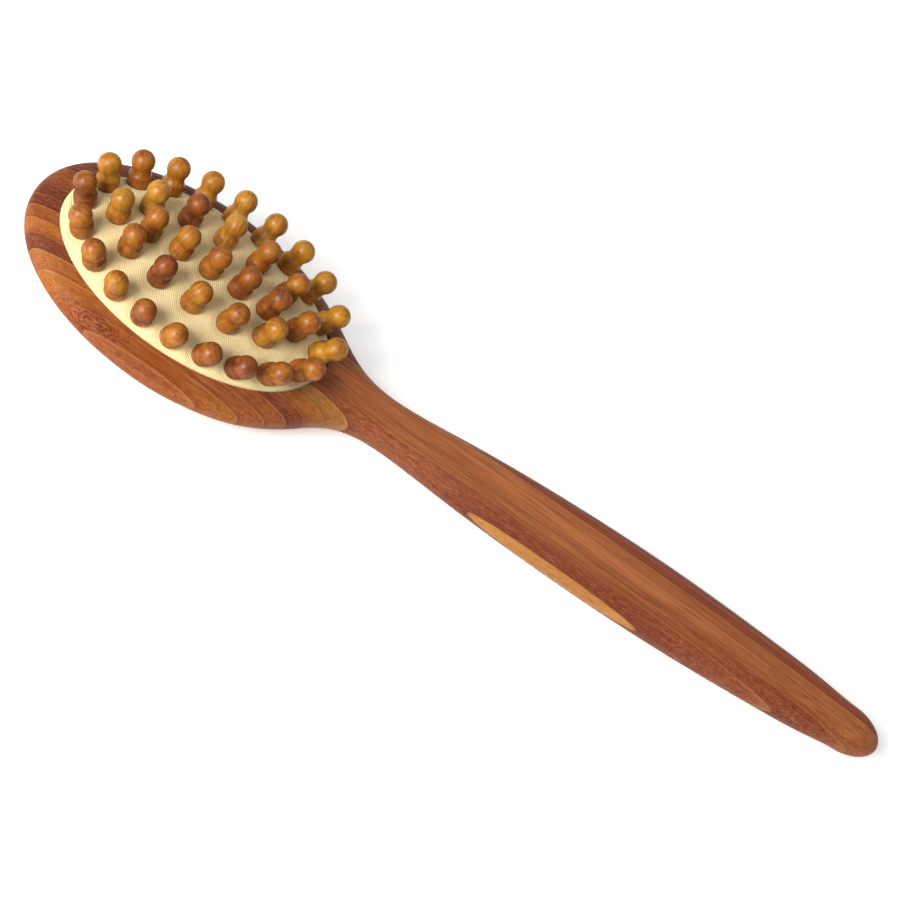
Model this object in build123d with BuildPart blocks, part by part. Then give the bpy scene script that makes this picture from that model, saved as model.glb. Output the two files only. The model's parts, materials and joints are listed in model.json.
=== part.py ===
from build123d import *
import os
from math import cos, hypot, pi, sin, sqrt

os.makedirs("parts", exist_ok=True)

# A long-handled massage brush: one laminated bamboo body, a domed rubber cushion
# snapped into an oval pocket in its head, and 37 turned wooden pegs held by the cushion.
# X runs along the brush, from the head (-X) to the end of the handle (+X), Y is across it,
# and Z points out of the cushion. The origin is the centre of the flat back of the head.

# ---- Driving dimensions, millimetres ----

# Body: every cross-section is a rounded oval about one level line.
mid_height = 10.3        # height of that line above the flat back
head_tip_x = -68.6
head_widest_x = 3.0
handle_end_x = 329.1
head_half_width = 45.8
head_rise = 10.2         # from the level line up to the head's crown
head_drop = 11.9         # and down to its belly, which the flat back cuts off
head_plan_power = 2.06   # the head's outline is nearly an ellipse, which would be 2
head_section_power = 2.5
handle_section_power = 2.15
section_points = 28
tip_steps = 9
end_steps = 6

# Stations from the head to the end of the handle, as the place along X, the half width,
# the height above the level line and the depth below it.
neck_x = 98.0
stations = [
    (20.0, 43.9, 10.1, 11.9),
    (35.0, 39.9, 10.0, 11.7),
    (48.0, 33.2, 9.8, 11.4),
    (58.0, 25.8, 9.6, 11.0),
    (66.0, 18.7, 9.4, 10.6),
    (75.0, 12.9, 9.2, 10.3),
    (85.0, 10.2, 9.1, 10.0),
    (neck_x, 10.2, 9.2, 9.9),
    (118.0, 12.5, 9.4, 9.9),
    (145.0, 15.1, 9.8, 10.1),
    (175.0, 16.7, 10.1, 10.3),
    (208.0, 17.3, 10.2, 10.3),
    (240.0, 16.5, 9.9, 10.2),
    (272.0, 14.6, 9.3, 9.7),
    (298.0, 12.2, 8.4, 8.9),
]
end_round = (312.0, 10.3, 7.8, 8.3)  # from here the handle closes in an elliptical end

# Cushion: half an ellipsoid of rubber on an upright skirt with a flange.
pad_half_length = 57.8
pad_half_width = 35.9
dome_base = 17.5
dome_height = 11.3
rubber = 2.4             # thickness of the dome's wall

# Pocket for it in the head. The undercut groove grips the flange.
groove_low = 11.6
groove_high = 14.2
groove_depth = 1.6
mouth_gap = 0.3
flange_gap = 0.3
ledge = 2.8              # the flange rests on a ledge this wide
pocket_floor = 5.5
above_head = 30.0        # any height well clear of the head

# Pegs: each is one turned piece, with its origin at the middle of its foot.
ball_radius = 4.5
ball_height = 7.35       # from the middle of the foot to the middle of the ball
neck_radius = 3.65
neck_curve = 3.0         # radius of the hollow between the ball and the foot
foot_radius = 4.5
foot_shoulder = 1.5      # radius of the rounding above the foot's straight side
foot_side = 1.6          # the straight side ends this far below the foot's middle
foot_seat = 2.3          # the middle of the foot stands this far above the cushion
seat_radius = hypot(foot_radius, foot_side)  # the foot's underside is part of a ball
stem_radius = 1.8
barb_top = 5.85          # depths below the middle of the foot
barb_low = 6.85
stem_end = 7.95
barb_radius = 3.0
barb_tip_radius = 1.5
socket_gap = 0.25        # between the foot's underside and its moulded socket
stem_gap = 0.8           # room for the stem to swing in its hole

# Rows of pegs, as half length, half width and count, and the row down the middle.
outer_row = (51.5, 31.9, 20)
inner_row = (39.1, 17.0, 12)
centre_count = 5
centre_pitch = 13.0
lean_along = 1.31        # a peg's slope as a share of the cushion's own, along the brush
lean_across = 0.84       # and across it


def signed_power(value, power):
    """The value's size raised to a power, with the value's own sign."""
    return (1 if value >= 0 else -1) * abs(value) ** power


def section(x, half_width, rise, drop, section_power):
    """A closed oval across the brush at x, taller or deeper on either side of the level line."""
    power = 2 / section_power
    points = []
    for i in range(section_points):
        angle = 2 * pi * i / section_points
        height = rise if sin(angle) > 0 else drop
        y = half_width * signed_power(cos(angle), power)
        z = mid_height + height * signed_power(sin(angle), power)
        points.append((y, z))
    with BuildSketch(Plane.YZ.offset(x)) as oval:
        with BuildLine():
            Spline(points, periodic=True)
        make_face()
    return oval.sketch


def head_sections():
    """The ovals of the head's round front, from its tip to its widest place."""
    ovals = [Vertex(head_tip_x, 0, mid_height)]
    for i in range(1, tip_steps + 1):
        reach = cos(pi / 2 * i / tip_steps)
        scale = (1 - reach**head_plan_power) ** (1 / head_plan_power)
        bulge = (1 - reach**head_section_power) ** (1 / head_section_power)
        x = head_widest_x + (head_tip_x - head_widest_x) * reach
        ovals.append(
            section(
                x,
                head_half_width * scale,
                head_rise * bulge,
                head_drop * bulge,
                head_section_power,
            )
        )
    return ovals


def handle_sections():
    """The ovals from the head through the neck and the handle to its rounded end."""
    ovals = []
    for x, half_width, rise, drop in stations:
        along = min(1.0, (x - head_widest_x) / (neck_x - head_widest_x))
        power = head_section_power + (handle_section_power - head_section_power) * along
        ovals.append(section(x, half_width, rise, drop, power))
    start_x, half_width, rise, drop = end_round
    for i in range(end_steps):
        angle = pi / 2 * i / end_steps
        scale = cos(angle)
        x = start_x + (handle_end_x - start_x) * sin(angle)
        ovals.append(
            section(x, half_width * scale, rise * scale, drop * scale, handle_section_power)
        )
    ovals.append(Vertex(handle_end_x, 0, mid_height))
    return ovals


def pad_oval(growth):
    """Half length and half width of the cushion's outline, grown or shrunk all round."""
    return pad_half_length + growth, pad_half_width + growth


def dome(growth, height):
    """Half an ellipsoid on the cushion's outline, standing at the dome's base."""
    half_length, half_width = pad_oval(growth)
    with BuildPart() as blank:
        with BuildSketch(Plane.XZ):
            with BuildLine():
                EllipticalCenterArc((0, 0), half_width, height, start_angle=0, arc_size=90)
                Line((0, height), (0, 0))
                Line((0, 0), (half_width, 0))
            make_face()
        revolve(axis=Axis.Z)
        scale(by=(half_length / half_width, 1, 1))
    return blank.part.moved(Location((0, 0, dome_base)))


def peg_axis_plane(x, y):
    """A plane through the middle of a peg's foot, with its Y along the peg."""
    flatness = sqrt(1 - (x / pad_half_length) ** 2 - (y / pad_half_width) ** 2)
    slope_x = lean_along * dome_height * x / pad_half_length**2 / flatness
    slope_y = lean_across * dome_height * y / pad_half_width**2 / flatness
    axis = Vector(slope_x, slope_y, 1).normalized()
    face_point = Vector(x, y, dome_base + dome_height * flatness)
    side = Vector(0, 1, 0).cross(axis).normalized()
    return Plane(origin=face_point + axis * foot_seat, x_dir=side, z_dir=side.cross(axis))


def oval_row(half_length, half_width, count):
    """Points at equal steps of arc length round an oval, from its +X end."""
    steps = 4000
    angles = [2 * pi * i / steps for i in range(steps + 1)]
    walked = [0.0]
    for a, b in zip(angles, angles[1:]):
        step = hypot(half_length * (cos(b) - cos(a)), half_width * (sin(b) - sin(a)))
        walked.append(walked[-1] + step)
    points = []
    for k in range(count):
        i = next(n for n, length in enumerate(walked) if length >= walked[-1] * k / count)
        points.append((half_length * cos(angles[i]), half_width * sin(angles[i])))
    return points


def peg_profile():
    """Half the outline of a peg, beside its axis, as a closed sketch on the XY plane."""
    ball = Vector(0, ball_height)
    top = ball + Vector(0, ball_radius)
    hollow_x = neck_radius + neck_curve
    reach = ball_radius + neck_curve
    hollow = Vector(hollow_x, ball_height - sqrt(reach**2 - hollow_x**2))
    ball_end = ball + (hollow - ball).normalized() * ball_radius
    shoulder_x = foot_radius - foot_shoulder
    drop = sqrt((neck_curve + foot_shoulder) ** 2 - (hollow_x - shoulder_x) ** 2)
    shoulder_middle = Vector(shoulder_x, hollow.Y - drop)
    hollow_end = hollow + (shoulder_middle - hollow).normalized() * neck_curve
    side_top = Vector(foot_radius, shoulder_middle.Y)
    side_low = Vector(foot_radius, -foot_side)
    stem_top = Vector(stem_radius, -sqrt(seat_radius**2 - stem_radius**2))
    with BuildSketch(mode=Mode.PRIVATE) as outline:
        with BuildLine():
            RadiusArc(top, ball_end, ball_radius)
            RadiusArc(ball_end, hollow_end, -neck_curve)
            RadiusArc(hollow_end, side_top, foot_shoulder)
            Line(side_top, side_low)
            RadiusArc(side_low, stem_top, seat_radius)
            Polyline(
                stem_top,
                (stem_radius, -barb_top),
                (barb_radius, -barb_top),
                (barb_radius, -barb_low),
                (barb_tip_radius, -stem_end),
                (0, -stem_end),
                top,
            )
        make_face()
    return outline.sketch


row_points = {
    "outer_peg": oval_row(*outer_row),
    "inner_peg": oval_row(*inner_row),
    "centre_peg": [
        ((k - (centre_count - 1) / 2) * centre_pitch, 0.0) for k in range(centre_count)
    ],
}
peg_planes = {
    f"{row}_{k:02d}": peg_axis_plane(x, y)
    for row, points in row_points.items()
    for k, (x, y) in enumerate(points, start=1)
}
pieces = []

# ---- Body: head and handle in one piece, with the cushion's pocket ----

body_sections = head_sections() + handle_sections()
with BuildPart() as body:
    loft(body_sections)
    with BuildSketch(Plane.XY):
        Rectangle(2 * handle_end_x, 4 * head_half_width)
    extrude(amount=-head_drop, mode=Mode.SUBTRACT)
    with BuildSketch(Plane.XY.offset(pocket_floor)):
        Ellipse(*pad_oval(-ledge))
    extrude(amount=groove_low - pocket_floor, mode=Mode.SUBTRACT)
    with BuildSketch(Plane.XY.offset(groove_low)):
        Ellipse(*pad_oval(groove_depth))
    extrude(amount=groove_high - groove_low, mode=Mode.SUBTRACT)
    with BuildSketch(Plane.XY.offset(groove_high)):
        Ellipse(*pad_oval(mouth_gap))
    extrude(amount=above_head, mode=Mode.SUBTRACT)
body.part.label = "body"
pieces.append(body.part)

# ---- Cushion: a moulded rubber dome, with a socket and a stem hole for every peg ----

dome_outside = dome(0, dome_height)
dome_inside = dome(-rubber, dome_height - rubber)
foot_planes = [
    Plane(origin=plane.origin, x_dir=plane.x_dir, z_dir=plane.y_dir)
    for plane in peg_planes.values()
]
flange_low = groove_low + flange_gap
flange_high = groove_high - flange_gap
with BuildPart() as cushion:
    with BuildSketch(Plane.XY.offset(flange_low)):
        Ellipse(*pad_oval(groove_depth - flange_gap))
    extrude(amount=flange_high - flange_low)
    with BuildSketch(Plane.XY.offset(flange_low)):
        Ellipse(*pad_oval(0))
    extrude(amount=dome_base - flange_low)
    add(dome_outside)
    with BuildSketch(Plane.XY.offset(flange_low)):
        Ellipse(*pad_oval(-rubber))
    extrude(amount=dome_base - flange_low, mode=Mode.SUBTRACT)
    add(dome_inside, mode=Mode.SUBTRACT)
    with Locations(foot_planes):
        Sphere(seat_radius + socket_gap, mode=Mode.SUBTRACT)
        Cylinder(stem_radius + stem_gap, 2 * stem_end, mode=Mode.SUBTRACT)
cushion.part.label = "cushion"
pieces.append(cushion.part)

# ---- Pegs ----

half_peg = peg_profile()
for name, plane in peg_planes.items():
    with BuildPart() as peg:
        with BuildSketch(plane):
            add(half_peg)
        revolve(axis=Axis(plane.origin, plane.y_dir))
    peg.part.label = name
    pieces.append(peg.part)

for piece in pieces:
    export_step(piece, f"parts/{piece.label}.step")
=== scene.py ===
import json
import math

import bmesh
import bpy
import numpy as np
from mathutils import Matrix, Quaternion, Vector


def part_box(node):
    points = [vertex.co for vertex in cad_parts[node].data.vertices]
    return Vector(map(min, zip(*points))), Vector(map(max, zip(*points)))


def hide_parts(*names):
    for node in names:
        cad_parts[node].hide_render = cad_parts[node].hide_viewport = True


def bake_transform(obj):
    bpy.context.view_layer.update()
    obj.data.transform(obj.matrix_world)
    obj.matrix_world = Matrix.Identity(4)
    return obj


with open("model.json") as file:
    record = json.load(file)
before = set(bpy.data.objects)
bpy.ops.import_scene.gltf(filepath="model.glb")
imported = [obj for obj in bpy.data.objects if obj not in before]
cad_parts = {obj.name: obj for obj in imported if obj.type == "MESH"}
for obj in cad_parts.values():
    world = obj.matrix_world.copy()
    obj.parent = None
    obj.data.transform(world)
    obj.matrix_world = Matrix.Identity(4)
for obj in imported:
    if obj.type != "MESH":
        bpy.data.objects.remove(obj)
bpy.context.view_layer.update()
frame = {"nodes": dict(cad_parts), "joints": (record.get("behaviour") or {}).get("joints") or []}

MM = 0.001

# ---- Places read from the frame ----

joints = {joint["name"]: joint for joint in frame["joints"]}
body_low, body_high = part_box("body")
_, cushion_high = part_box("cushion")
peg_names = sorted(name for name in frame["nodes"] if "_peg_" in name)

# ---- Small helpers for shader trees ----


class Shader:
    """A material's node tree, with short calls for the nodes that these materials use."""

    def __init__(self, name):
        self.material = bpy.data.materials.new(name)
        self.material.use_nodes = True
        self.tree = self.material.node_tree
        self.surface = next(n for n in self.tree.nodes if n.type == "BSDF_PRINCIPLED")

    def node(self, kind, **settings):
        """A new node with its own settings, such as operation or blend_type."""
        made = self.tree.nodes.new(kind)
        for key, value in settings.items():
            setattr(made, key, value)
        return made

    def put(self, socket, value):
        """Links an output to a socket, or sets the socket's own value."""
        if isinstance(value, bpy.types.NodeSocket):
            self.tree.links.new(value, socket)
        else:
            socket.default_value = value

    def place(self):
        """The point on the piece at rest, in metres."""
        return self.node("ShaderNodeTexCoord").outputs["Object"]

    def split(self, vector):
        """The three parts of a vector."""
        made = self.node("ShaderNodeSeparateXYZ")
        self.put(made.inputs[0], vector)
        return made.outputs[0], made.outputs[1], made.outputs[2]

    def join(self, x, y, z):
        """A vector of three parts."""
        made = self.node("ShaderNodeCombineXYZ")
        for socket, value in zip(made.inputs, (x, y, z)):
            self.put(socket, value)
        return made.outputs[0]

    def math(self, operation, a, b=0.0, c=0.0):
        """One step of arithmetic."""
        made = self.node("ShaderNodeMath", operation=operation)
        for socket, value in zip(made.inputs, (a, b, c)):
            self.put(socket, value)
        return made.outputs[0]

    def shift(self, vector, by):
        """A vector moved by another one."""
        made = self.node("ShaderNodeVectorMath", operation="ADD")
        self.put(made.inputs[0], vector)
        self.put(made.inputs[1], by)
        return made.outputs["Vector"]

    def length(self, vector):
        """How long a vector is."""
        made = self.node("ShaderNodeVectorMath", operation="LENGTH")
        self.put(made.inputs[0], vector)
        return made.outputs["Value"]

    def noise(self, vector, scale=1.0, detail=3.0, roughness=0.55, distortion=0.0):
        """Cloudy noise from 0 to 1."""
        made = self.node("ShaderNodeTexNoise")
        self.put(made.inputs["Vector"], vector)
        self.put(made.inputs["Scale"], scale)
        self.put(made.inputs["Detail"], detail)
        self.put(made.inputs["Roughness"], roughness)
        self.put(made.inputs["Distortion"], distortion)
        return made.outputs["Fac"]

    def fit(self, value, low, high, to_low=0.0, to_high=1.0, smooth=False):
        """Value carried from one range to another and held inside it."""
        made = self.node("ShaderNodeMapRange", clamp=True)
        if smooth:
            made.interpolation_type = "SMOOTHSTEP"
        for socket, number in zip(made.inputs, (value, low, high, to_low, to_high)):
            self.put(socket, number)
        return made.outputs["Result"]

    def mix(self, share, a, b, blend="MIX"):
        """Two colours mixed by a share."""
        made = self.node("ShaderNodeMix", data_type="RGBA", blend_type=blend)
        self.put(made.inputs["Factor"], share)
        self.put(made.inputs["A"], a)
        self.put(made.inputs["B"], b)
        return made.outputs["Result"]

    def steps(self, share, colours):
        """Even steps of colour across 0 to 1, with hard edges."""
        made = self.node("ShaderNodeValToRGB")
        ramp = made.color_ramp
        ramp.interpolation = "CONSTANT"
        ramp.elements.remove(ramp.elements[1])
        ramp.elements[0].position = 0.0
        ramp.elements[0].color = colours[0]
        for i, colour in enumerate(colours[1:], start=1):
            ramp.elements.new(i / len(colours)).color = colour
        self.put(made.inputs[0], share)
        return made.outputs["Color"]

    def bump(self, height, distance, strength):
        """Relief for the surface's normal, with its real depth in metres."""
        made = self.node("ShaderNodeBump")
        self.put(made.inputs["Height"], height)
        self.put(made.inputs["Distance"], distance)
        self.put(made.inputs["Strength"], strength)
        return made.outputs["Normal"]

    def finish(self, **values):
        """Sets the surface's sockets by name, with _ for a space."""
        for key, value in values.items():
            self.put(self.surface.inputs[key.replace("_", " ")], value)
        return self.material


def srgb(red, green, blue):
    """A colour given as 0 to 255 screen values, as linear light."""

    def linear(value):
        value /= 255
        return value / 12.92 if value <= 0.04045 else ((value + 0.055) / 1.055) ** 2.4

    return linear(red), linear(green), linear(blue), 1.0


# ---- Bamboo: strips on edge, glued side by side, each with its own tone ----

STRIP = 5.6 * MM          # width of a strip
STRIP_TILT = 0.0375       # the strips run a little askew of the brush
STRIP_SWAY = 0.4 * MM     # and are not quite straight
FIRST_EDGE = -53.9 * MM   # outer edge of the first strip, where x is 0
# The strips' and pegs' tones come from comparing renders under the lights below with the photo, so
# they make up for differences in the light too, and are not the wood's true colours.
STRIP_TONES = {
    "gold": srgb(166, 114, 56),
    "orange": srgb(170, 102, 30),
    "copper": srgb(150, 78, 28),
    "honey": srgb(160, 96, 42),
    "amber": srgb(148, 82, 40),
    "tan": srgb(184, 112, 68),
    "fawn": srgb(152, 90, 52),
    "sand": srgb(168, 102, 60),
    "brown": srgb(135, 71, 41),
    "umber": srgb(125, 63, 38),
    "russet": srgb(116, 56, 36),
    "wine": srgb(152, 76, 49),
}
# Tones of the strips from the near side to the far side, at places along the brush.
BOARD = [
    (-52 * MM, "amber copper copper orange honey russet honey amber russet russet "
               "brown amber russet russet umber brown russet russet fawn honey"),
    (-12 * MM, "amber amber copper amber copper russet honey gold brown fawn "
               "tan tan russet russet umber russet russet russet fawn honey"),
    (45 * MM, "amber honey honey amber amber umber honey gold brown fawn "
              "tan tan russet russet brown umber russet brown fawn honey"),
    (150 * MM, "amber honey honey amber brown brown amber gold umber fawn "
               "tan tan wine wine amber brown russet amber tan honey"),
    (310 * MM, "amber honey honey amber brown brown amber gold umber umber "
               "fawn sand wine wine amber brown russet amber tan honey"),
]
# Bamboo nodes, as strip number: (x, z, strength). Each shows as rings of fibre round a point.
NODES = {
    1: (46 * MM, 4 * MM, 0.4),
    2: (-27 * MM, 14 * MM, 0.9),
    4: (28 * MM, 2 * MM, 0.4),
    6: (12 * MM, 0 * MM, 0.4),
    8: (250 * MM, 3 * MM, 0.5),
    9: (290 * MM, 11 * MM, 0.6),
    10: (150 * MM, 0 * MM, 0.4),
    12: (206 * MM, 2 * MM, 0.4),
    13: (-20 * MM, 0 * MM, 0.4),
    15: (38 * MM, 10 * MM, 0.5),
    17: (2 * MM, 12 * MM, 0.5),
}
STRIPS = len(BOARD[0][1].split())
NODE_STRETCH = 2.8        # the rings are longer along the strip
NODE_RING = 1.05 * MM
NODE_REACH = 11 * MM
NODE_RIPPLE = 4 * MM      # how far the rings stray
FAR_OFF = 1.0             # a strip with no node has one well past the brush


def strip_tone(s, x, share):
    """The tone of each strip, which changes smoothly along the brush."""
    tones = [s.steps(share, [STRIP_TONES[word] for word in names.split()]) for _, names in BOARD]
    tone = tones[0]
    for (start, _), (end, _), next_tone in zip(BOARD, BOARD[1:], tones[1:]):
        tone = s.mix(s.fit(x, start, end, smooth=True), tone, next_tone)
    return tone


def node_rings(s, x, z, inside, share, ripple):
    """How strongly the rings round each strip's node show, drawn out along the strip."""
    middles = [NODES.get(i, (FAR_OFF, 0, 0)) for i in range(STRIPS)]
    places = s.steps(share, [((along + FAR_OFF) / 2, up, strong, 1) for along, up, strong in middles])
    node_x, node_z, strength = s.split(places)
    node_x = s.math("MULTIPLY_ADD", node_x, 2.0, -FAR_OFF)
    along = s.math("DIVIDE", s.math("SUBTRACT", x, node_x), NODE_STRETCH)
    aside = s.math("MULTIPLY", s.math("SUBTRACT", inside, 0.5), STRIP)
    rise = s.math("SUBTRACT", z, node_z)
    reach = s.math("ADD", s.length(s.join(along, aside, rise)), s.math("MULTIPLY", ripple, NODE_RIPPLE))
    ring = s.math("SINE", s.math("MULTIPLY", reach, 2 * math.pi / NODE_RING))
    fade = s.math("MULTIPLY", s.fit(reach, NODE_REACH, NODE_REACH / 4, smooth=True), strength)
    return s.math("MULTIPLY", s.fit(ring, -0.2, 0.8), fade)


def bamboo():
    """Laminated, carbonised bamboo under a satin varnish."""
    s = Shader("laminated_bamboo")
    x, y, z = s.split(s.place())
    sway = s.fit(s.noise(s.join(s.math("MULTIPLY", x, 9), 0, 0), detail=1), 0, 1, -STRIP_SWAY, STRIP_SWAY)
    across = s.math("ADD", s.math("MULTIPLY_ADD", x, STRIP_TILT, y), sway)
    strip = s.math("DIVIDE", s.math("SUBTRACT", across, FIRST_EDGE), STRIP)
    index = s.math("FLOOR", strip)
    inside = s.math("FRACT", strip)
    share = s.math("DIVIDE", s.math("ADD", index, 0.5), float(STRIPS))
    tone = strip_tone(s, x, share)

    # Every strip has its own place in the grain, so nothing runs across a glue line.
    offset = s.join(s.math("MULTIPLY", index, 1.7), s.math("MULTIPLY", index, 5.3),
                    s.math("MULTIPLY", index, 3.1))

    def grain(along, cross):
        return s.shift(s.join(s.math("MULTIPLY", x, along), s.math("MULTIPLY", across, cross),
                              s.math("MULTIPLY", z, cross)), offset)

    drift = s.noise(grain(7, 110), detail=2)
    streak = s.noise(grain(5, 700), detail=3, roughness=0.5)
    line = s.noise(grain(8, 2100), detail=2, roughness=0.6)
    lying = s.noise(grain(60, 2300), detail=0)
    cut = s.noise(grain(420, 2100), detail=0)
    normal_z = s.split(s.node("ShaderNodeTexCoord").outputs["Normal"])[2]
    flank = s.fit(s.math("ABSOLUTE", normal_z), 0.95, 0.75, smooth=True)
    bundle = s.math("MULTIPLY_ADD", flank, s.math("SUBTRACT", cut, lying), lying)

    def tinted(red, green, blue):
        return s.mix(1.0, tone, srgb(red, green, blue), "MULTIPLY")

    deep = tinted(196, 166, 150)
    colour = s.mix(s.fit(drift, 0.3, 0.7), tinted(226, 214, 206), tone)
    colour = s.mix(s.fit(streak, 0.48, 0.7, 0, 0.3), colour, s.mix(0.3, tone, srgb(206, 142, 84)))
    colour = s.mix(s.fit(streak, 0.47, 0.3, 0, 0.4), colour, deep)
    colour = s.mix(s.fit(line, 0.5, 0.7, 0, 0.3), colour, deep)

    # Bundles of dark fibre run along the brush, and show as lines on top and as dashes on the
    # flanks. They crowd towards one side of each strip, which is darker there.
    crowd = s.fit(inside, 0, 1, 0.53, 0.60)
    colour = s.mix(s.math("MULTIPLY", s.fit(s.math("SUBTRACT", bundle, crowd), 0, 0.12), 0.36), colour,
                   tinted(150, 100, 84))
    pale = s.mix(0.3, colour, srgb(222, 160, 96))
    colour = s.mix(s.fit(bundle, 0.44, 0.34, 0, 0.3), colour, pale)
    colour = s.mix(s.fit(inside, 0.3, 0.02, 0, 0.45, smooth=True), colour, deep)
    # The thin pale band along the far edge of each strip is a painted highlight, as on a slightly raised
    # edge.
    colour = s.mix(s.fit(inside, 0.84, 0.95, 0, 0.4, smooth=True), colour, pale)

    rings = node_rings(s, x, z, inside, share, ripple=s.noise(grain(220, 460), detail=3))
    colour = s.mix(rings, colour, tinted(146, 88, 72))

    # Thin dark glue lines.
    edge = s.math("MINIMUM", inside, s.math("SUBTRACT", 1.0, inside))
    colour = s.mix(s.fit(edge, 0.03, 0.0, 0, 0.4, smooth=True), colour, tinted(140, 84, 70))

    relief = s.math("ADD", s.math("MULTIPLY", bundle, -0.6), s.math("MULTIPLY", line, -0.4))
    return s.finish(
        Base_Color=colour,
        Roughness=s.fit(line, 0.3, 0.8, 0.5, 0.62),
        Normal=s.bump(relief, 0.03 * MM, 0.5),
        Specular_IOR_Level=0.22,
    )


# ---- Pegs: turned wood, from pale honey to dark red-brown ----

# Light and dark tones, from pale gold to red-brown.
PEG_TONES = {
    "g": (srgb(200, 146, 48), srgb(140, 84, 28)),
    "h": (srgb(188, 134, 36), srgb(128, 72, 22)),
    "a": (srgb(180, 120, 32), srgb(118, 62, 20)),
    "o": (srgb(170, 106, 30), srgb(106, 50, 18)),
    "t": (srgb(157, 92, 29), srgb(96, 43, 17)),
    "r": (srgb(144, 78, 28), srgb(86, 36, 16)),
}
# The tone of every peg, in the order of the numbers in each row.
PEG_ROWS = {
    "outer_peg": "hhghggaaohtooatotroo",
    "inner_peg": "ooogrghoraoa",
    "centre_peg": "oaott",
}
PEG_RING = 1.9 * MM       # from one growth ring to the next
RING_WANDER = 2.2 * MM    # how far the rings stray
RING_FLARE = 0.12         # and how much they widen along the peg
HEART = 6 * MM            # the rings' middle lies this far beside the peg
HEART_CHANGE = 2 * MM     # more or less, from peg to peg
FOOT_RING = 1.15 * MM
PEG_TURN = 2.4            # radians from one peg's grain to the next one's


def peg_tone(name):
    """The tone of a peg, by its row and number."""
    row, number = name.rsplit("_", 1)
    return PEG_TONES[PEG_ROWS[row][int(number) - 1]]


def peg_foot(name):
    """The middle of a peg's foot, about which it rocks."""
    return Vector(joints[name + "_tilt"]["pos_m"])


def peg_axis(name):
    """The direction of a peg, from its foot to its ball."""
    mesh = frame["nodes"][name].data
    points = np.empty(len(mesh.vertices) * 3)
    mesh.vertices.foreach_get("co", points)
    middle = Vector(points.reshape(-1, 3).mean(axis=0))
    return (middle - peg_foot(name)).normalized()


def peg_wood(name, number):
    """Turned wood with its grain along the peg, stained in the peg's own tone."""
    light, dark = peg_tone(name)
    s = Shader(name + "_wood")
    mapping = s.node("ShaderNodeMapping", vector_type="TEXTURE")
    s.put(mapping.inputs["Vector"], s.place())
    turn = Vector((0, 0, 1)).rotation_difference(peg_axis(name))
    turn = turn @ Quaternion((0, 0, 1), PEG_TURN * number)
    mapping.inputs["Location"].default_value = peg_foot(name)
    mapping.inputs["Rotation"].default_value = turn.to_euler()
    x, y, z = s.split(mapping.outputs[0])
    seed = 0.37 * number

    def cloudy(across, along, start, **settings):
        """Noise with its own scales across and along the peg."""
        return s.noise(s.join(s.math("MULTIPLY", x, across), s.math("MULTIPLY", y, across),
                              s.math("ADD", s.math("MULTIPLY", z, along), start)), **settings)

    # Growth rings round a heart that lies beside the peg.
    heart = HEART + HEART_CHANGE * math.sin(1.9 * number)
    radius = s.length(s.join(s.math("ADD", x, heart), s.math("ADD", y, 0.15 * heart), 0))
    radius = s.math("ADD", radius, s.math("MULTIPLY", z, RING_FLARE))
    wander = cloudy(160, 60, seed, detail=2)
    radius = s.math("ADD", radius, s.math("MULTIPLY", wander, RING_WANDER))
    rings = s.math("SINE", s.math("MULTIPLY", radius, 2 * math.pi / PEG_RING))
    grain = cloudy(1500, 150, seed * 9, detail=3, roughness=0.6)
    cloud = cloudy(170, 120, seed * 5, detail=2)
    flame = cloudy(240, 90, seed * 7 + 3, detail=2, distortion=0.6)
    share = s.math("MULTIPLY_ADD", rings, 0.11, 0.38)
    share = s.math("ADD", share, s.fit(cloud, 0.3, 0.7, -0.4, 0.4))
    share = s.math("ADD", share, s.fit(grain, 0.35, 0.7, -0.12, 0.22))
    colour = s.mix(s.fit(share, 0.0, 1.05), light, dark)
    colour = s.mix(s.fit(flame, 0.5, 0.66, 0, 0.6), colour,
                   s.mix(1.0, colour, srgb(236, 176, 150), "MULTIPLY"))

    # Thin dark rings round the foot, where it is turned across the growth rings.
    groove = s.math("SINE", s.math("MULTIPLY", s.math("ADD", z, s.math("MULTIPLY", wander, 0.8 * MM)),
                                   2 * math.pi / FOOT_RING))
    low = s.fit(z, 3.4 * MM, 1.8 * MM, 0, 0.4, smooth=True)
    colour = s.mix(s.math("MULTIPLY", s.fit(groove, 0.6, 0.95), low), colour, dark)

    # Faint turning marks round the peg.
    marks = s.noise(s.join(0, 0, s.math("MULTIPLY", z, 2600)), detail=1)
    relief = s.math("ADD", s.math("MULTIPLY", marks, 0.5), s.math("MULTIPLY", grain, -0.5))
    return s.finish(
        Base_Color=colour,
        Roughness=s.fit(grain, 0.3, 0.7, 0.34, 0.46),
        Normal=s.bump(relief, 0.03 * MM, 0.5),
        Specular_IOR_Level=0.35,
        Coat_Weight=0.08,
        Coat_Roughness=0.25,
    )


# ---- Cushion: a taut ribbed dome that dips under every peg ----

FLANGE = 1.3 * MM         # the CAD flange stands out this far past the dome
DOME_BASE = 17.5 * MM     # where the dome meets its skirt
SKIN = 0.4 * MM           # thinner than the CAD rubber, so that tilted stems keep clear of it
SKIRT = 3.0 * MM          # how far the skirt goes down inside the pocket
SKIRT_STEPS = 3
FOOT_RADIUS = 4.78 * MM   # of the ball that the foot's underside is part of
FOOT_GAP = 0.12 * MM
STEM_HOLE = 3.1 * MM      # radius of the hole that each foot hides
DIMPLE = 0.45 * MM        # how far the rubber is drawn down beside a foot
DIMPLE_REACH = 2.4 * MM
GRID = 220                # squares along each side of the dome's grid


def disc_point(u, v):
    """A point of the square from -1 to 1, carried to the unit disc with even spacing."""
    if u == 0 and v == 0:
        return 0.0, 0.0
    if abs(u) > abs(v):
        radius, angle = u, math.pi / 4 * v / u
    else:
        radius, angle = v, math.pi / 2 - math.pi / 4 * u / v
    return radius * math.cos(angle), radius * math.sin(angle)


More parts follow.
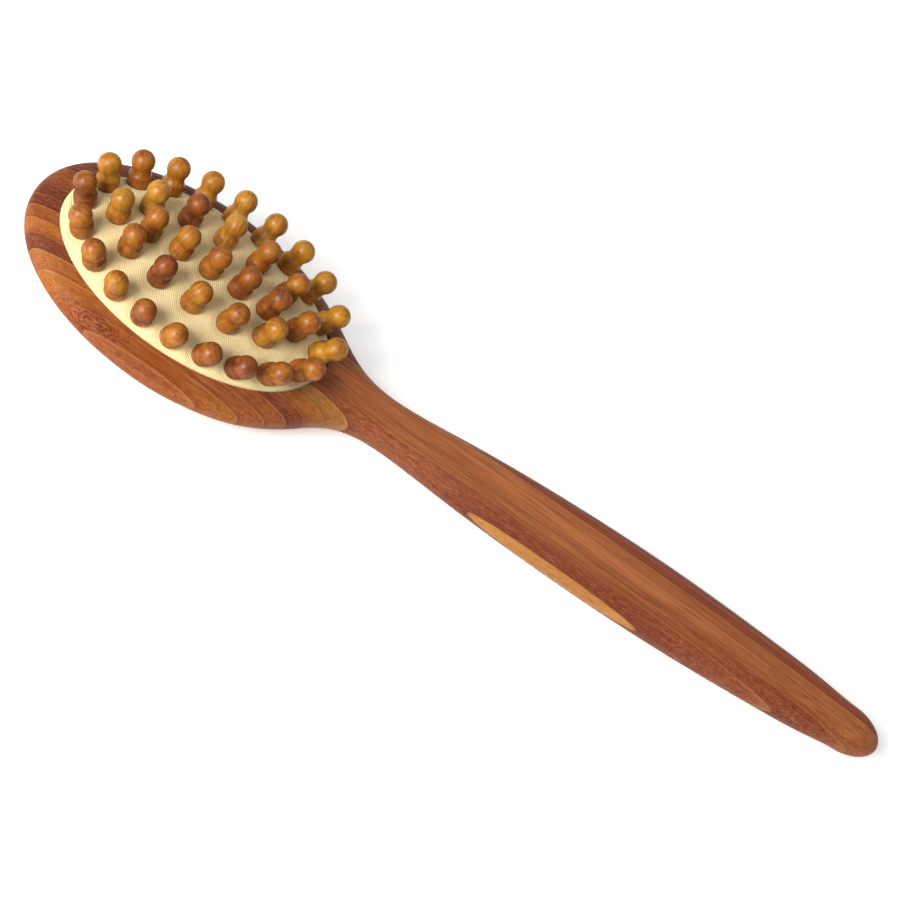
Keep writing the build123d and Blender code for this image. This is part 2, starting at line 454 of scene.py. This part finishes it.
def dome_points(steps):
    """Points of the smooth dome on a square grid, as an array of steps + 1 rows and columns."""
    half_length = cushion_high[0] - FLANGE
    half_width = cushion_high[1] - FLANGE
    height = cushion_high[2] - DOME_BASE
    points = np.empty((steps + 1, steps + 1, 3))
    for i in range(steps + 1):
        for j in range(steps + 1):
            a, b = disc_point(2 * i / steps - 1, 2 * j / steps - 1)
            reach = math.hypot(a, b)
            spread = math.sin(reach * math.pi / 2) / reach if reach > 0 else 1.0
            rise = math.cos(min(reach, 1.0) * math.pi / 2)
            points[i, j] = (half_length * a * spread, half_width * b * spread, DOME_BASE + height * rise)
    return points


def dip_under_pegs(points):
    """Moves the dome's points down under each foot, and a little way round it."""
    for name in peg_names:
        foot = np.array(peg_foot(name))
        axis = np.array(peg_axis(name))
        offset = points - foot
        along = offset @ axis
        side = np.linalg.norm(offset - along[..., None] * axis, axis=-1)
        ball = FOOT_RADIUS + FOOT_GAP
        near = np.clip((side - ball) / DIMPLE_REACH, 0, 1)
        drawn = along - DIMPLE * (1 - near) ** 2 * (side < ball + DIMPLE_REACH)
        under = -np.sqrt(np.clip(ball**2 - side**2, 0, None))
        target = np.where(side < ball, np.minimum(drawn, under), drawn)
        close = np.abs(along) < 3 * FOOT_RADIUS
        points += np.where(close, target - along, 0)[..., None] * axis
    return points


def in_stem_hole(point, stems):
    """Whether a point of the dome lies where a stem goes through it."""
    for foot, axis in stems:
        offset = point - foot
        along = offset.dot(axis)
        if abs(along) < 2 * FOOT_RADIUS and (offset - along * axis).length < STEM_HOLE:
            return True
    return False


def build_cushion():
    """The dome, its skirt and its inner side as one closed skin with a hole for every stem."""
    grid = dip_under_pegs(dome_points(GRID))
    mesh = bmesh.new()
    verts = [[mesh.verts.new(point) for point in row] for row in grid]
    for i in range(GRID):
        for j in range(GRID):
            mesh.faces.new((verts[i][j], verts[i + 1][j], verts[i + 1][j + 1], verts[i][j + 1]))
    # The skirt goes down from the rim, which is walked round so that every run makes the same mesh.
    rim = ([verts[i][0] for i in range(GRID)] + [verts[GRID][j] for j in range(GRID)]
           + [verts[i][GRID] for i in range(GRID, 0, -1)] + [verts[0][j] for j in range(GRID, 0, -1)])
    drop = SKIRT / SKIRT_STEPS
    for _ in range(SKIRT_STEPS):
        lower = [mesh.verts.new((vert.co.x, vert.co.y, vert.co.z - drop)) for vert in rim]
        for k in range(len(rim)):
            mesh.faces.new((rim[k - 1], rim[k], lower[k], lower[k - 1]))
        rim = lower
    stems = [(peg_foot(name), peg_axis(name)) for name in peg_names]
    doomed = [face for face in mesh.faces if in_stem_hole(face.calc_center_median(), stems)]
    bmesh.ops.delete(mesh, geom=doomed, context="FACES")
    bmesh.ops.recalc_face_normals(mesh, faces=mesh.faces)
    data = bpy.data.meshes.new("cushion_skin")
    mesh.to_mesh(data)
    mesh.free()
    data.polygons.foreach_set("use_smooth", [True] * len(data.polygons))
    skin = bpy.data.objects.new("cushion_skin", data)
    bpy.context.scene.collection.objects.link(skin)
    thick = skin.modifiers.new("thickness", "SOLIDIFY")
    thick.thickness = SKIN
    thick.offset = -1
    return skin


RIB = 0.78 * MM                 # from one rib to the next
THREAD = 0.42 * MM              # from one crossing thread to the next
RIB_TURN = math.radians(20.5)   # the ribs run askew of the brush's width


def ribbed_cream():
    """Cream rubber with a fine ribbed textile face."""
    s = Shader("cushion_cream")
    x, y, _ = s.split(s.place())
    across = s.math("ADD", s.math("MULTIPLY", x, math.cos(RIB_TURN)),
                    s.math("MULTIPLY", y, math.sin(RIB_TURN)))
    along = s.math("SUBTRACT", s.math("MULTIPLY", y, math.cos(RIB_TURN)),
                   s.math("MULTIPLY", x, math.sin(RIB_TURN)))
    waver = s.noise(s.join(s.math("MULTIPLY", across, 90), s.math("MULTIPLY", along, 60), 0), detail=1)
    across = s.math("ADD", across, s.math("MULTIPLY", waver, 0.3 * MM))
    rib = s.math("SINE", s.math("MULTIPLY", across, 2 * math.pi / RIB))
    thread = s.math("SINE", s.math("MULTIPLY", along, 2 * math.pi / THREAD))
    fuzz = s.noise(s.place(), scale=2400)
    patch = s.noise(s.join(s.math("MULTIPLY", x, 60), s.math("MULTIPLY", y, 60), 0), detail=2)
    # The rib valleys are coloured darker than the rib tops: painted shade in the grooves, on top of their
    # relief.
    colour = s.mix(s.fit(rib, -1, 0.4), srgb(222, 198, 143), srgb(242, 221, 171))
    colour = s.mix(s.fit(patch, 0.35, 0.7, 0, 0.35), colour, srgb(226, 206, 145))
    colour = s.mix(s.fit(fuzz, 0.5, 0.75, 0, 0.25), colour, srgb(204, 182, 124))
    relief = s.math("ADD", rib, s.math("MULTIPLY", thread, 0.35))
    relief = s.math("ADD", relief, s.math("MULTIPLY", fuzz, 0.4))
    return s.finish(
        Base_Color=colour,
        Roughness=0.82,
        Normal=s.bump(relief, 0.06 * MM, 0.8),
        Specular_IOR_Level=0.25,
        Sheen_Weight=0.15,
        Sheen_Roughness=0.5,
    )


# ---- Object ----


def set_material(piece, material):
    """Gives every slot of a piece one material."""
    if not piece.material_slots:
        piece.data.materials.append(material)
    for slot in piece.material_slots:
        slot.material = material


set_material(frame["nodes"]["body"], bamboo())
for number, name in enumerate(peg_names):
    set_material(frame["nodes"][name], peg_wood(name, number))

cushion = build_cushion()
set_material(cushion, ribbed_cream())
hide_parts("cushion")
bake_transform(cushion)

# ---- Stage: floor, lights and camera ----

FLOOR_SIDE = 40.0
GLOW = 0.42     # the floor is lit a little from below, as a light table is


def build_floor():
    """A plain pale floor under the brush."""
    data = bpy.data.meshes.new("floor")
    half = FLOOR_SIDE / 2
    corners = [(-half, -half, 0), (half, -half, 0), (half, half, 0), (-half, half, 0)]
    data.from_pydata(corners, [], [(0, 1, 2, 3)])
    floor = bpy.data.objects.new("floor", data)
    bpy.context.scene.collection.objects.link(floor)
    s = Shader("floor_paper")
    paper = s.finish(
        Base_Color=(0.9, 0.9, 0.9, 1.0),
        Roughness=0.9,
        Specular_IOR_Level=0.1,
        Emission_Color=(1.0, 1.0, 1.0, 1.0),
        Emission_Strength=GLOW,
    )
    set_material(floor, paper)


def area_light(name, direction, distance, size, power, aim, colour=(1, 1, 1)):
    """A soft light of a width and height that looks at a point from a direction."""
    data = bpy.data.lights.new(name, "AREA")
    data.shape = "RECTANGLE"
    data.size, data.size_y = size
    data.energy = power
    data.color = colour
    light = bpy.data.objects.new(name, data)
    direction = Vector(direction).normalized()
    light.location = Vector(aim) + direction * distance
    light.rotation_euler = direction.to_track_quat("Z", "Y").to_euler()
    bpy.context.scene.collection.objects.link(light)


def build_camera(aim, azimuth, elevation, roll, distance, lens):
    """A camera that looks at a point, turned about its own line of sight by the roll."""
    flat = math.cos(elevation)
    back = Vector((math.sin(azimuth) * flat, -math.cos(azimuth) * flat, math.sin(elevation)))
    data = bpy.data.cameras.new("camera")
    data.lens = lens
    data.sensor_width = 36
    camera = bpy.data.objects.new("camera", data)
    level = back.to_track_quat("Z", "Y").to_matrix()
    turned = level @ Matrix.Rotation(roll, 3, "Z")
    camera.matrix_world = Matrix.Translation(Vector(aim) + back * distance) @ turned.to_4x4()
    bpy.context.scene.collection.objects.link(camera)
    bpy.context.scene.camera = camera


def build_world(strength):
    """Even white light from all round."""
    world = bpy.data.worlds.new("studio")
    world.use_nodes = True
    background = world.node_tree.nodes["Background"]
    background.inputs["Color"].default_value = (1, 1, 1, 1)
    background.inputs["Strength"].default_value = strength
    bpy.context.scene.world = world


build_floor()
middle = ((body_low[0] + body_high[0]) / 2, 0, body_high[2] / 2)
area_light("key", (-0.60, -0.57, 0.555), 3.6, (1.6, 1.6), 160, middle, (1.0, 0.97, 0.92))
area_light("low", (-0.66, -0.74, 0.14), 3.0, (2.0, 0.7), 23, middle, (1.0, 0.98, 0.95))
area_light("top", (-0.05, 0.20, 0.98), 3.0, (2.4, 2.4), 14, middle, (1.0, 0.99, 0.96))
build_world(strength=0.26)
build_camera(
    aim=(0.1181, 0.0075, 0.010),
    azimuth=math.radians(-18.92),
    elevation=math.radians(48.19),
    roll=math.radians(47.8),
    distance=1.1600,
    lens=120.5,
)
bpy.context.scene.view_settings.view_transform = "Standard"
